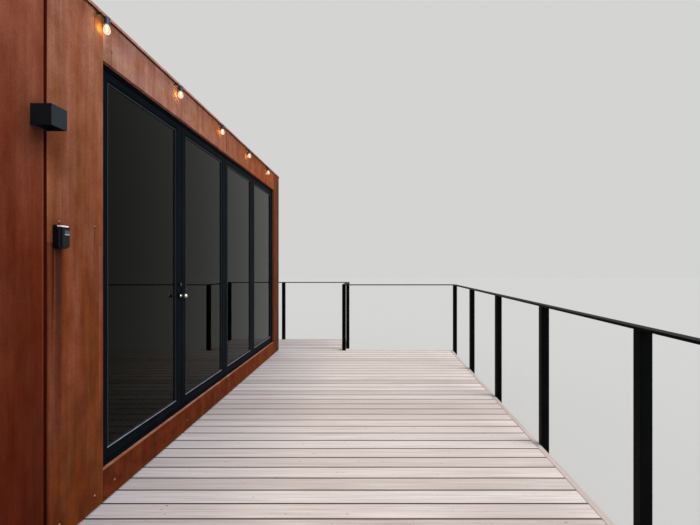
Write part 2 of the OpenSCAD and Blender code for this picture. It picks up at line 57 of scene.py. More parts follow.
camera.location = (-4.4805, -1.3919, 1.7808)
camera.rotation_euler = (math.radians(90), 0, math.radians(-90))
bpy.context.scene.camera = camera
bpy.context.scene.view_settings.view_transform = "Standard"


# Sky and light
# A pale even sky that the camera, gloss and glass see, a softer fill from all sides, and one
# wide soft key from the open side of the deck.
def linear(colour):
    """An sRGB hex colour as linear red, green, blue and alpha."""
    parts = [int(colour[i:i + 2], 16) / 255 for i in (1, 3, 5)]
    return [p / 12.92 if p <= 0.04045 else ((p + 0.055) / 1.055) ** 2.4 for p in parts] + [1.0]


def add(tree, kind, inputs=(), stops=(), **settings):
    """Adds a shader node. An input takes a value, a hex colour, a socket, or a node, whose
    first output in use it then reads. stops holds a ramp's places and colours."""
    node = tree.nodes.new("ShaderNode" + kind)
    for key, value in settings.items():
        setattr(node, key, value)
    for key, value in dict(inputs).items():
        if isinstance(value, bpy.types.Node):
            value = next(socket for socket in value.outputs if socket.enabled)
        if isinstance(value, bpy.types.NodeSocket):
            tree.links.new(value, node.inputs[key])
        else:
            node.inputs[key].default_value = linear(value) if isinstance(value, str) else value
    for place, _ in stops[1:-1]:
        node.color_ramp.elements.new(place)
    for element, (place, colour) in zip(node.color_ramp.elements if stops else (), stops):
        element.position = place
        element.color = linear(colour)
    return node


world = bpy.data.worlds.new("pale_sky")
bpy.context.scene.world = world
world.use_nodes = True
tree = world.node_tree
tree.nodes.clear()
ray = add(tree, "LightPath")
seen = add(tree, "Math", {0: ray.outputs["Is Camera Ray"], 1: ray.outputs["Is Glossy Ray"]},
           operation="MAXIMUM")
seen = add(tree, "Math", {0: seen, 1: ray.outputs["Is Transmission Ray"]}, operation="MAXIMUM")
fill = add(tree, "Background", {"Color": "#f1f1f0", "Strength": 0.8})
view = add(tree, "Background", {"Color": "#d4d4d3", "Strength": 1.0})
add(tree, "OutputWorld", {"Surface": add(tree, "MixShader", {0: seen, 1: fill, 2: view})})

key = bpy.data.lights.new("soft_key", "SUN")
key.energy = 2.3
key.angle = math.radians(50)
key_light = bpy.data.objects.new("soft_key", key)
bpy.context.scene.collection.objects.link(key_light)
key_light.rotation_euler = Vector((-0.35, -0.75, 0.8)).to_track_quat("Z", "Y").to_euler()


# Stage floor
# A wide plain floor under the piers, pale and matt. It catches the shadow, and it is not part
# of the object.
def new_finish(name):
    """An empty material and its node tree."""
    finish = bpy.data.materials.new(name)
    finish.use_nodes = True
    finish.node_tree.nodes.clear()
    return finish, finish.node_tree


floor_shape = bmesh.new()
bmesh.ops.create_grid(floor_shape, x_segments=1, y_segments=1, size=60.0)
floor_mesh = bpy.data.meshes.new("stage_floor")
floor_shape.to_mesh(floor_mesh)
floor_shape.free()
stage_floor = bpy.data.objects.new("stage_floor", floor_mesh)
bpy.context.scene.collection.objects.link(stage_floor)
pale_floor, tree = new_finish("pale_floor")
add(tree, "OutputMaterial", {"Surface": add(tree, "BsdfPrincipled", {
    "Base Color": "#c4c4c3", "Roughness": 0.9, "Specular IOR Level": 0.1})})
floor_mesh.materials.append(pale_floor)


# Pads and piers
# Precast concrete blocks that carry the deck's bearers and the cabin's base frame. They stand
# loose on the ground and are level on top.
def settle(shape, name, finishes, body="cabin", smooth=None):
    """Turns a finished bmesh into a piece that rides on a body."""
    mesh = bpy.data.meshes.new(name)
    shape.to_mesh(mesh)
    shape.free()
    for finish in finishes:
        mesh.materials.append(finish)
    if smooth is not None:
        mesh.shade_smooth()
        mesh.set_sharp_from_angle(angle=math.radians(smooth))
    piece = bpy.data.objects.new(name, mesh)
    bpy.context.scene.collection.objects.link(piece)
    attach(piece, body)
    return piece


def ease(shape, edges, radius, segments=2):
    """Rounds edges over, with the radius in mm."""
    bmesh.ops.bevel(shape, geom=edges, offset=radius / 1000, offset_type="OFFSET",
                    segments=segments, profile=0.5, affect="EDGES", material=-1,
                    clamp_overlap=True)


def eased(node, name, finishes, radius, segments=2, body="cabin", pick=None, back=None):
    """A copy of a node with its sharp edges rounded over, which stands for the node. pick
    chooses the finish of each face from its middle and its normal. Edges at back, a place on
    Y, stay sharp against what carries them."""
    shape = bmesh.new()
    shape.from_mesh(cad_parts[node].data)
    bmesh.ops.remove_doubles(shape, verts=shape.verts, dist=0.00002)
    bmesh.ops.dissolve_limit(shape, angle_limit=math.radians(1), verts=shape.verts,
                             edges=shape.edges)
    ease(shape, [e for e in shape.edges
                 if len(e.link_faces) == 2 and e.calc_face_angle() > math.radians(40)
                 and (back is None or any(abs(v.co.y - back) > 0.0005 for v in e.verts))],
         radius, segments)
    for face in shape.faces if pick else ():
        face.material_index = pick(face.calc_center_median(), face.normal)
    piece = settle(shape, name, finishes, body)
    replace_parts(piece, node)
    return piece


def per_mm(*grain):
    """The Mapping scale for a pattern whose grains measure the given mm along each axis."""
    return [1000 / size for size in grain]


# Cast concrete: pale grey, with soft clouds from the pour and small dark pores.
concrete, tree = new_finish("cast_concrete")
place = add(tree, "TexCoord").outputs["Object"]
clouds = add(tree, "TexNoise", {"Vector": add(tree, "Mapping", {
    "Vector": place, "Scale": per_mm(180, 180, 120)}), "Scale": 1.0, "Detail": 4.0})
pores = add(tree, "TexNoise", {"Vector": add(tree, "Mapping", {
    "Vector": place, "Scale": per_mm(5, 5, 5)}), "Scale": 1.0, "Detail": 3.0})
pale = add(tree, "ValToRGB", {0: clouds}, [(0.3, "#8d8a84"), (0.7, "#b1aea7")])
spots = add(tree, "ValToRGB", {0: pores}, [(0.28, "#8b8680"), (0.4, "#ffffff")])
add(tree, "OutputMaterial", {"Surface": add(tree, "BsdfPrincipled", {
    "Base Color": add(tree, "Mix", {0: 1.0, 6: pale, 7: spots}, data_type="RGBA",
                      blend_type="MULTIPLY"),
    "Roughness": 0.9,
    "Normal": add(tree, "Bump", {"Height": pores, "Strength": 0.5, "Distance": 0.0008})})})
eased("foundation_pads", "pads_and_piers", [concrete], 6)


# Bearers and joists
# Sawn, pressure-treated softwood under the deck. The bearers cross the pads, and the joists
# run the length of the deck on top of them, nailed down.
def grained(name, grains, tones, rough, bump=None, spread=(0.3, 0.7), look=()):
    """A finish with one pattern or two, each given by its grains' mm along the axes and its
    detail. tones and rough hold one colour and one roughness, or the two that a pattern runs
    between: the tones follow the last pattern over its spread, and the roughness the first.
    bump is how strongly and by how many mm the first stands out. look holds what else the
    shader is given."""
    finish, tree = new_finish(name)
    place = add(tree, "TexCoord").outputs["Object"]
    noise = [add(tree, "TexNoise", {"Vector": add(tree, "Mapping", {
        "Vector": place, "Scale": per_mm(*size)}), "Scale": 1.0, "Detail": detail})
        for *size, detail in grains]
    if isinstance(tones, tuple):
        tones = add(tree, "ValToRGB", {0: noise[-1]}, list(zip(spread, tones)))
    if isinstance(rough, tuple):
        rough = add(tree, "MapRange", {"Value": noise[0], "From Min": 0.3, "From Max": 0.7,
                                       "To Min": rough[0], "To Max": rough[1]})
    look = {"Base Color": tones, "Roughness": rough, **dict(look)}
    if bump:
        look["Normal"] = add(tree, "Bump", {"Height": noise[0], "Strength": bump[0],
                                            "Distance": bump[1] / 1000})
    add(tree, "OutputMaterial", {"Surface": add(tree, "BsdfPrincipled", look)})
    return finish


# Sawn softwood: green-brown, with rings and a rough saw face along its length.
for node, name, grain in (("deck_bearers", "bearers", (9, 400, 9, 4.0)),
                          ("deck_joists", "joists", (400, 9, 9, 4.0))):
    sawn_wood = grained("sawn_" + name, [grain], ("#5f4a30", "#8b7350"), 0.85, (0.5, 0.8))
    eased(node, name, [sawn_wood], 2)

# Deck boards
# Brushed hardwood boards 145 mm wide with 5 mm gaps, laid square to the facade and held by
# hidden clips. Weather has turned them a pinkish grey-beige, each board a little different.
board_w = 0.145
board_gap = 0.005
board_pitch = board_w + board_gap
gap_middle = -0.050
front_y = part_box("front_panels")[0].y


def box_piece(shape, low, high):
    """A block between two corners, in metres. Returns its edges."""
    low, high = Vector(low), Vector(high)
    made = bmesh.ops.create_cube(shape, size=1.0, matrix=Matrix.LocRotScale(
        (low + high) / 2, None, high - low))
    return list({edge for vert in made["verts"] for edge in vert.link_edges})


def board_finish(name, along, dark, light, warm, gap_shade="#ffffff"):
    """Weathered brushed wood. The grain runs along X (0) or Y (1), and each board of 150 mm
    across it has a tone of its own. Painted shade darkens its rounded edges beside the gaps,
    and makes the boards greyer and darker towards the wall. The hairs are drawn coarser than
    the real fibres, which are too fine to show."""
    finish, tree = new_finish(name)
    place = add(tree, "TexCoord").outputs["Object"]
    parts = add(tree, "SeparateXYZ", {0: place})
    across = parts.outputs[1 - along]
    # Painted shade: the boards turn greyer and darker towards the wall, fading out 1.1 m from it.
    wall_shade = add(tree, "MapRange", {"Value": parts.outputs["Y"], "From Min": front_y,
                                       "From Max": front_y - 1.1})
    count = add(tree, "Math", {0: across, 1: gap_middle}, operation="SUBTRACT")
    count = add(tree, "Math", {0: count, 1: board_pitch}, operation="DIVIDE")
    edge = add(tree, "Math", {0: add(tree, "Math", {0: count}, operation="FRACT"), 1: 0.5},
               operation="SUBTRACT")
    edge = add(tree, "Math", {0: edge}, operation="ABSOLUTE")
    count = add(tree, "Math", {0: count}, operation="FLOOR")
    own = add(tree, "TexWhiteNoise", {"W": count}, noise_dimensions="1D").outputs["Value"]
    slide = add(tree, "CombineXYZ", {2: add(tree, "Math", {0: own, 1: 7.0},
                                            operation="MULTIPLY")})
    moved = add(tree, "VectorMath", {0: place, 1: slide}, operation="ADD")
    noise = {}
    for layer, length, width, detail in (("hairs", 600, 2.5, 3.0), ("bands", 900, 16, 3.0),
                                         ("clouds", 1300, 80, 2.0), ("knots", 38, 16, 1.0)):
        size = [length, width, width] if along == 0 else [width, length, width]
        noise[layer] = add(tree, "TexNoise", {"Vector": add(tree, "Mapping", {
            "Vector": moved, "Scale": per_mm(*size)}), "Scale": 1.0, "Detail": detail,
            "Roughness": 0.6})
    base = add(tree, "ValToRGB", {0: noise["bands"]}, [(0.3, dark), (0.7, light)])
    amount = add(tree, "MapRange", {"Value": noise["clouds"], "From Min": 0.35,
                                    "From Max": 0.7, "To Max": 0.6})
    base = add(tree, "Mix", {0: amount, 6: base, 7: warm}, data_type="RGBA")
    for value, stops in (
            (own, [(0.0, "#e6e1de"), (0.5, "#faf6f4"), (1.0, "#ffffff")]),
            (noise["hairs"], [(0.34, "#d2cac7"), (0.6, "#ffffff")]),
            (noise["knots"], [(0.19, "#b4a59c"), (0.27, "#ffffff")]),
            # The last two layers are painted shade, towards the wall and on the edges beside the
            # gaps.
            (wall_shade, [(0.0, "#dae0ea"), (1.0, "#ffffff")]),
            (edge, [(0.444, "#ffffff"), (0.464, gap_shade)])):
        base = add(tree, "Mix", {0: 1.0, 6: base, 7: add(tree, "ValToRGB", {0: value}, stops)},
                   data_type="RGBA", blend_type="MULTIPLY")
    add(tree, "OutputMaterial", {"Surface": add(tree, "BsdfPrincipled", {
        "Base Color": base,
        "Roughness": add(tree, "MapRange", {"Value": noise["hairs"], "From Min": 0.3,
                                            "From Max": 0.7, "To Min": 0.6, "To Max": 0.78}),
        "Specular IOR Level": 0.35,
        "Normal": add(tree, "Bump", {"Height": noise["hairs"], "Strength": 0.45,
                                     "Distance": 0.0005})})})
    return finish


boards_y = board_finish("brushed_boards", 1, "#e3d9d6", "#f9f2f0", "#efe5e0", "#544947")
front_low, front_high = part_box("deck_boards")
wing_low, wing_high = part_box("wing_boards")


def board_row(name, node, low, high, notch_y=None):
    """Boards side by side between two corners, the last one notched at the deck's corner. A
    sliver narrower than 20 mm is left out."""
    shape = bmesh.new()
    for k in range(math.floor((low.x - gap_middle) / board_pitch),
                   math.ceil((high.x - gap_middle) / board_pitch)):
        x0 = max(gap_middle + k * board_pitch + board_gap / 2, low.x)
        x1 = gap_middle + (k + 1) * board_pitch - board_gap / 2
        if min(x1, high.x) - x0 < 0.020:
            continue
        if x1 > high.x + 0.001 and notch_y is not None:
            ease(shape, box_piece(shape, (x0, low.y, low.z), (high.x - 0.003, notch_y, high.z)), 2)
            ease(shape, box_piece(shape, (x0, notch_y, low.z), (x1, high.y, high.z)), 2)
            continue
        ease(shape, box_piece(shape, (x0, low.y, low.z), (min(x1, high.x), high.y, high.z)), 2)
    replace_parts(settle(shape, name, [boards_y]), node)


edge_gap = Vector((0, 0.003, 0))
board_row("front_boards", "deck_boards", front_low + edge_gap, front_high, wing_low.y)
board_row("end_boards", "wing_boards", wing_low + Vector((0.020, 0, 0)) + edge_gap,
          wing_high - edge_gap)

# Edge boards
# Boards of the same wood, 40 mm thick, set on edge round the deck to hide the joists' ends.
# They butt at the corners and are screwed on in pairs with stainless countersunk screws.
boards_x = board_finish("brushed_edge_boards", 0, "#c2b6b1", "#ddd3cf", "#d5c8c0")
edge_low, edge_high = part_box("edge_boards")
edge_t = 0.040
far_edge_x = wing_low.x + edge_t


def edge_grain(middle, normal):
    """Boards across the deck's ends run along Y, the others along X."""
    ends = (edge_low.x + edge_t, edge_high.x - edge_t)
    across = middle.x < ends[0] or middle.x > ends[1]
    return 1 if across or (far_edge_x - edge_t < middle.x < far_edge_x
                           and middle.y < wing_low.y - edge_t) else 0


eased("edge_boards", "edges_round_deck", [boards_x, boards_y], 2, pick=edge_grain)


def dome(shape, place, out, radius, height, sides=12):
    """A low domed head at a place in metres, facing out, with its sizes in mm."""
    turn = Vector(out).to_track_quat("Z", "Y").to_matrix().to_4x4()
    for foot, top, start, tall in ((1.0, 0.82, 0.0, 0.6), (0.82, 0.45, 0.6, 0.4)):
        middle = Vector(place) + Vector(out) * (start + tall / 2) * height / 1000
        bmesh.ops.create_cone(shape, cap_ends=True, segments=sides,
                              radius1=foot * radius / 1000, radius2=top * radius / 1000,
                              depth=tall * height / 1000,
                              matrix=Matrix.Translation(middle) @ turn)


# Stainless steel: bright grey, with a fine uneven gloss.
metal = {"Metallic": 1.0}
screw_steel = grained("stainless_screws", [(2, 2, 2, 2.0)], "#b5b3af", (0.325, 0.425), look=metal)
screw_rows = (0.250, 0.335)
notch_y = wing_low.y - edge_t
screw_xs = [edge_low.x + 0.18 + k * 0.58 for k in range(11)]
spots = [(x, edge_low.y, (0, -1, 0)) for x in screw_xs]
spots += [(x, notch_y, (0, -1, 0)) for x in screw_xs if x >= far_edge_x - 0.1]
spots += [(x, notch_y, (0, -1, 0)) for x in (far_edge_x + 0.2, far_edge_x + 0.6)]
spots += [(edge_low.x, edge_low.y + 0.14 + k * 0.64, (-1, 0, 0)) for k in range(5)]
spots += [(edge_high.x, wing_low.y + 0.11 + k * 0.56, (1, 0, 0)) for k in range(7)]
spots += [(x, edge_high.y, (0, 1, 0))
          for x in (far_edge_x + 0.15, far_edge_x + 0.55, edge_high.x - 0.15)]
shape = bmesh.new()
for z in screw_rows:
    for x, y, out in spots:
        dome(shape, (x, y, z), out, 4.5, 0.8, 10)
settle(shape, "edge_screws", [screw_steel], smooth=40)

# Railing
# Square steel posts with welded base plates, screwed to the outer face of the edge boards,
# and a flat bar welded along the top. All of it is powder coated black.

# Powder coat: near black, with a fine even texture that breaks the gloss up, and thin dust.
# The texture is drawn coarser than the real one, which is too fine to show.
powder_black = grained("black_powder_coat", [(1.5, 1.5, 1.5, 2.0), (160, 160, 240, 4.0)],
                       ("#050607", "#0c0d0e"), (0.42, 0.55), (0.15, 0.1), (0.45, 0.75),
                       look={"Specular IOR Level": 0.03})
eased("rail_posts", "posts", [powder_black], 3, 3)
eased("top_rail", "rail_bar", [powder_black], 2, 3)

post_w = 0.060
post_step = 1.220
plate_w, plate_h, plate_t = 0.040, 0.120, 0.006
plate_z = sum(screw_rows) / 2
bolt_in, bolt_up = 0.022, 0.036
rail_low, rail_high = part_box("rail_posts")
posts = [((rail_low.x + post_w / 2 + i * post_step, rail_low.y + post_w / 2), (0, -1))
         for i in range(6)]
posts += [((x, notch_y - post_w / 2), (0, -1))
          for x in (far_edge_x + post_w / 2, edge_high.x - post_w / 2)]
wing_step = (edge_high.y - post_w - notch_y) / 3
posts += [((edge_high.x + post_w / 2, notch_y + i * wing_step + post_w / 2), (1, 0))
          for i in (1, 2, 3)]
plates, heads = bmesh.new(), bmesh.new()
for (x, y), (ox, oy) in posts:
    out, side = Vector((ox, oy, 0)), Vector((-oy, ox, 0))
    wall = Vector((x, y, plate_z)) - out * post_w / 2
    for way in (-1, 1):
        near = wall + side * way * post_w / 2
        far = near + side * way * plate_w
        if not (rail_low.x < far.x < rail_high.x and rail_low.y < far.y < rail_high.y):
            continue
        half = Vector((0, 0, plate_h / 2))
        corners = list(zip(near - half, far + out * plate_t + half))
        ease(plates, box_piece(plates, [min(pair) for pair in corners],
                               [max(pair) for pair in corners]), 1.5)
        for z in (-bolt_up, bolt_up):
            dome(heads, near + side * way * bolt_in + out * plate_t + Vector((0, 0, z)),
                 out, 8, 5)
settle(plates, "post_base_plates", [powder_black])
settle(heads, "post_bolts", [powder_black], smooth=40)

# Base frame
# Welded steel channels with cross members between them, under the floor. The steel is coated
# with a matte grey primer that has chipped here and there.
primer = grained("grey_primer", [(60, 60, 60, 5.0)], ("#2e2f31", "#4a3a30"), 0.7, (0.2, 0.4),
                 (0.62, 0.7))


def dress(finish, *nodes):
    """Gives carried-over nodes their finish."""
    for name in nodes:
        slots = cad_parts[name].data.materials
        slots.clear()
        slots.append(finish)


dress(primer, "base_frame", "floor_bearers")

# Floor
# Solid oak boards inside the cabin, 140 mm wide, laid along the room with tight joints and
# glued down. They are sanded smooth and oiled.

# Oiled oak: warm brown, with long fibres, a satin gloss and dark seams.
plank_w = 0.14
oak, tree = new_finish("oiled_oak")
place = add(tree, "TexCoord").outputs["Object"]
plank = add(tree, "Math", {0: add(tree, "SeparateXYZ", {0: place}).outputs["Y"], 1: plank_w},
            operation="DIVIDE")
own = add(tree, "TexWhiteNoise", {"W": add(tree, "Math", {0: plank}, operation="FLOOR")},
          noise_dimensions="1D").outputs["Value"]
seam = add(tree, "Math", {0: plank}, operation="FRACT")
fibres = add(tree, "TexNoise", {"Vector": add(tree, "Mapping", {
    "Vector": place, "Scale": per_mm(500, 6, 6)}), "Scale": 1.0, "Detail": 4.0})
wood = add(tree, "ValToRGB", {0: fibres}, [(0.3, "#8a6844"), (0.7, "#b18d62")])
for layer in (add(tree, "ValToRGB", {0: own}, [(0.0, "#d8d2cc"), (1.0, "#ffffff")]),
              add(tree, "ValToRGB", {0: seam}, [(0.0, "#4a3a2c"), (0.02, "#ffffff")])):
    wood = add(tree, "Mix", {0: 1.0, 6: wood, 7: layer}, data_type="RGBA", blend_type="MULTIPLY")
add(tree, "OutputMaterial", {"Surface": add(tree, "BsdfPrincipled", {
    "Base Color": wood, "Roughness": 0.5,
    "Normal": add(tree, "Bump", {"Height": fibres, "Strength": 0.2, "Distance": 0.0003})})})
dress(oak, "floor")

# Wall and roof cores
# Insulated panels behind the cladding. Outside they are painted near black, as the shade that
# fills the open joints. Inside they are boards 1.2 m wide, rolled with off-white paint.

# Rolled paint: off-white and dull, with the roller's nap. Outside, a dull near black that is
# painted shade.
lining_w = 1.2
lining, tree = new_finish("rolled_wall_paint")
place = add(tree, "TexCoord").outputs["Object"]
nap = add(tree, "TexNoise", {"Vector": add(tree, "Mapping", {
    "Vector": place, "Scale": per_mm(9, 9, 9)}), "Scale": 1.0, "Detail": 3.0})
parts = add(tree, "SeparateXYZ", {0: place})
join = add(tree, "Math", {0: add(tree, "Math", {0: parts.outputs["X"], 1: lining_w},
                                 operation="DIVIDE")}, operation="FRACT")
paint = add(tree, "Mix", {0: nap, 6: "#c9c6bf", 7: "#d3d0c9"}, data_type="RGBA")
groove = add(tree, "ValToRGB", {0: join}, [(0.0, "#8f8d88"), (0.004, "#ffffff")])
paint = add(tree, "Mix", {0: 1.0, 6: paint, 7: groove}, data_type="RGBA", blend_type="MULTIPLY")
core_low = Vector((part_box("near_end_wall")[0].x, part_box("front_wall_near")[0].y, 0))
core_high = Vector((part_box("far_end_wall")[1].x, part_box("rear_wall")[1].y, 0))
# The outer faces are painted near black, as shade in the open joints.
outside = []
for axis in (0, 1):
    off = add(tree, "Math", {0: parts.outputs[axis], 1: (core_low[axis] + core_high[axis]) / 2},
              operation="SUBTRACT")
    outside.append(add(tree, "Math", {
        0: add(tree, "Math", {0: off}, operation="ABSOLUTE"),
        1: (core_high[axis] - core_low[axis]) / 2 - 0.0005}, operation="GREATER_THAN"))
outside = add(tree, "Math", {0: outside[0], 1: outside[1]}, operation="MAXIMUM")
add(tree, "OutputMaterial", {"Surface": add(tree, "BsdfPrincipled", {
    "Base Color": add(tree, "Mix", {0: outside, 6: paint, 7: "#0c0606"}, data_type="RGBA"),
    "Roughness": 0.85, "Specular IOR Level": 0.2,
    "Normal": add(tree, "Bump", {"Height": nap, "Strength": 0.15, "Distance": 0.0002})})})
dress(lining, "rear_wall", "near_end_wall", "far_end_wall", "front_wall_near", "front_wall_far",
      "lintel", "ceiling", "roof_panel", "parapet")

# Roof membrane
# Dark grey rubber sheet over the roof panel, turned up at the parapet. The sheets are 1.0 m
# wide and lap over each other by 50 mm, glued and rolled down.

# Rubber: dull dark grey, with fine grit and the paler rims of dried puddles.
rubber = grained("roof_rubber", [(5, 5, 5, 3.0), (420, 420, 420, 4.0)],
                 ("#2b2c2e", "#474645"), 0.82, (0.3, 0.4), (0.4, 0.7))
dress(rubber, "roof_membrane")
membrane_t, lap_w, lap_t, lap_in = 0.005, 0.050, 0.002, 0.005
tray_low, tray_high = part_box("roof_membrane")
sheet_top = tray_low.z + membrane_t
shape = bmesh.new()
for k in range(1, 6):
    x = tray_low.x + k * (tray_high.x - tray_low.x) / 6
    ease(shape, box_piece(shape, (x - lap_w / 2, tray_low.y + lap_in, sheet_top),
                          (x + lap_w / 2, tray_high.y - lap_in, sheet_top + lap_t)), 0.8)
settle(shape, "roof_laps", [rubber])


# Cladding
# Trays folded from 3 mm weathering steel and left bare, screwed through their faces to rails
# on the wall. The rust is dull and fine, drawn by the rain into soft upright streaks.
def screw_marks(tree, place, base, marks):
    """A dark ring just below each screw, partly rust and partly the painted shadow of its head,
    and the thin run of rust below it.
    """
    for mark in marks:
        off = add(tree, "VectorMath", {0: place, 1: mark}, operation="SUBTRACT")
        for shift, squeeze, near, far in ((0.004, (1, 0, 0.8), 0.007, 0.014),
                                          (0.055, (1, 0, 0.04), 0.0015, 0.004)):
            moved = add(tree, "VectorMath", {0: off, 1: (0, 0, shift)}, operation="ADD")
            moved = add(tree, "VectorMath", {0: moved, 1: squeeze}, operation="MULTIPLY")
            reach = add(tree, "VectorMath", {0: moved}, operation="LENGTH").outputs["Value"]
            amount = add(tree, "MapRange", {"Value": reach, "From Min": near, "From Max": far,
                                            "To Min": 0.6, "To Max": 0.0})
            base = add(tree, "Mix", {0: amount, 6: base, 7: "#43180a"}, data_type="RGBA")
    return base


def weathered_steel(name, tones, axis, low, high, seed, patches, screws=(), marks=None):
    """Rust: dull and warm brown, with soft upright streaks, blotches and fine grain. Its tone
    follows one axis between two places, in metres. On the upright sheets it runs along Z from
    dark at the foot to pale at the top: painted shade low down and painted sky light above. The
    patches are colours that soft clouds of the given width and height in mm lay over it, each as
    far as its amounts at the low and the high end say. marks adds what only one wall has. The
    grain is drawn at 5 mm, coarser than the real pits, which are too fine to show."""
    finish, tree = new_finish(name)
    place = add(tree, "TexCoord").outputs["Object"]
    parts = add(tree, "SeparateXYZ", {0: place})

    layers = [("drift", 300, 900, 3.0, 0), ("sway", 90, 1400, 3.0, 5.1),
              ("streaks", 40, 460, 3.0, 7.7), ("threads", 12, 500, 1.0, 8.2),
              ("grain", 5, 6, 3.0, 6.3), ("blotches", 110, 150, 5.0, 9.4)]
    layers += [(patch, patch[1], patch[2], 3.0, number * 0.7)
               for number, patch in enumerate(patches, 1)]
    noise = {layer: add(tree, "TexNoise", {"Vector": add(tree, "Mapping", {
        "Vector": place, "Location": (seed + shift, 2 * seed - shift, 3 * seed),
        "Scale": per_mm(wide, wide, tall)}), "Scale": 1.0, "Detail": detail,
        "Roughness": 0.55}) for layer, wide, tall, detail, shift in layers}
    span = add(tree, "MapRange", {"Value": parts.outputs[axis], "From Min": low,
                                  "From Max": high})
    drift = add(tree, "Math", {0: noise["drift"], 1: 0.3, 2: span}, operation="MULTIPLY_ADD")
    drift = add(tree, "Math", {0: drift, 1: 0.15}, operation="SUBTRACT")
    base = add(tree, "ValToRGB", {0: drift}, [(i / (len(tones) - 1), tone)
                                              for i, tone in enumerate(tones)])
    for patch in patches:
        shape = add(tree, "MapRange", {"Value": noise[patch], "From Min": 0.42,
                                       "From Max": 0.64})
        share = add(tree, "MapRange", {"Value": span, "To Min": patch[3], "To Max": patch[4]})
        amount = add(tree, "Math", {0: shape, 1: share}, operation="MULTIPLY")
        base = add(tree, "Mix", {0: amount, 6: base, 7: patch[0]}, data_type="RGBA")
    if marks:
        base = marks(tree, parts, noise["sway"], base)
    for layer, dark in (("sway", "#ebe4e1"), ("streaks", "#eee7e3"), ("threads", "#f6f3f0"),
                        ("grain", "#e2dad6"), ("blotches", "#e8dcd5")):
        shade = add(tree, "ValToRGB", {0: noise[layer]}, [(0.34, dark), (0.62, "#ffffff")])
        base = add(tree, "Mix", {0: 1.0, 6: base, 7: shade}, data_type="RGBA",
                   blend_type="MULTIPLY")
    base = screw_marks(tree, place, base, screws)
    add(tree, "OutputMaterial", {"Surface": add(tree, "BsdfPrincipled", {
        "Base Color": base,
        "Roughness": add(tree, "MapRange", {"Value": noise["grain"], "From Min": 0.3,
                                            "From Max": 0.7, "To Min": 0.7, "To Max": 0.85}),
        "Specular IOR Level": 0.04,
        "Normal": add(tree, "Bump", {"Height": noise["grain"], "Strength": 0.25,
                                     "Distance": 0.0003})})})
    return finish


safe_low, safe_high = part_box("key_safe")
joint = (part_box("wall_light")[0].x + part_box("wall_light")[1].x) / 2 + 0.040
foot_z = 0.5
strip_x = 0.095


def stains_and_painted_edges(tree, parts, sway, base, strips):
    """Upright strips: runs that rain has washed or stained, and painted shade and painted
    highlights along edges. Each has its edges on X, the height it starts from and is full at, its
    colour and its strength. One that is full between the wall's foot and the key safe ends under
    the safe."""
    bend = add(tree, "MapRange", {"Value": sway, "From Min": 0.3, "From Max": 0.7,
                                  "To Min": -0.006, "To Max": 0.006})
    across = add(tree, "Math", {0: parts.outputs["X"], 1: bend}, operation="ADD")
    high = parts.outputs["Z"]
    for x0, x1, z0, z1, colour, most in strips:
        middle, half = (x0 + x1) / 2, (x1 - x0) / 2
        off = add(tree, "Math", {0: across, 1: middle}, operation="SUBTRACT")
        off = add(tree, "Math", {0: off}, operation="ABSOLUTE")
        strip = add(tree, "MapRange", {"Value": off, "From Min": half * 0.55,
                                       "From Max": half * 1.1, "To Min": most, "To Max": 0.0})
        fade = add(tree, "MapRange", {"Value": high, "From Min": z0, "From Max": z1})
        if foot_z < z1 < safe_low.z:
            below = add(tree, "Math", {0: high, 1: safe_low.z + 0.03}, operation="LESS_THAN")
            fade = add(tree, "Math", {0: fade, 1: below}, operation="MULTIPLY")
        amount = add(tree, "Math", {0: strip, 1: fade}, operation="MULTIPLY")
        base = add(tree, "Mix", {0: amount, 6: base, 7: colour}, data_type="RGBA")
    return base


def dark_bloom(tree, parts, base, middle, most, colour):
    """A soft dark bloom on the steel round a place in metres, taller than it is wide."""
    spot = add(tree, "CombineXYZ", {0: parts.outputs["X"], 2: parts.outputs["Z"]})
    spot = add(tree, "VectorMath", {0: spot, 1: middle}, operation="SUBTRACT")
    spot = add(tree, "VectorMath", {0: spot, 1: (1, 1, 0.6)}, operation="MULTIPLY")
    reach = add(tree, "VectorMath", {0: spot}, operation="LENGTH").outputs["Value"]
    amount = add(tree, "MapRange", {"Value": reach, "From Min": 0.01, "From Max": 0.11,
                                    "To Min": most, "To Max": 0.0})
    return add(tree, "Mix", {0: amount, 6: base, 7: colour}, data_type="RGBA")


def near_marks(tree, parts, sway, base):
    """A paler strip on the edge beside the joint, and a dark bloom below the wall light, which is
    the light's painted shadow.
    """
    base = stains_and_painted_edges(tree, parts, sway, base, [(-2.463, -2.446, 0.9, 1.95, "#86604f", 0.4)])
    # The bloom below the wall light is its painted shadow.
    return dark_bloom(tree, parts, base, (-2.515, 0, 2.41), 0.6, "#2e0f06")


def wall_marks(tree, parts, sway, base):
    """Painted shade on the sheet's edge beside the joint, with a painted highlight on it high up,
    a painted highlight on its edge beside the frame, the grey-violet run that rain has washed from
    the key safe, with a brown line on one side and an orange one on the other, and a dark bloom
    above the key safe."""
    base = stains_and_painted_edges(tree, parts, sway, base, [
        # Beside the joint: painted shade, a painted highlight high up, and painted shade up to the
        # safe. The fifth strip is a painted highlight beside the frame.
        (-2.434, -2.425, 0.0, 0.1, "#3c160a", 0.85),
        (-2.426, -2.410, 1.95, 2.90, "#8a5a48", 0.3),
        (-2.436, -2.412, 0.51, 0.52, "#4c2112", 0.6),
        (-2.414, -2.386, 1.05, 1.70, "#4a1e0f", 0.6),
        (-2.043, -2.018, 0.7, 1.6, "#94665e", 0.4),
        (-2.388, -2.308, 0.95, 1.75, "#70371c", 0.3),
        (-2.400, -2.383, 1.15, 1.66, "#431405", 0.75),
        (-2.385, -2.325, 0.85, 1.66, "#452824", 0.9)])
    return dark_bloom(tree, parts, base, (-2.368, 0, 2.365), 0.42, "#4a2a14")


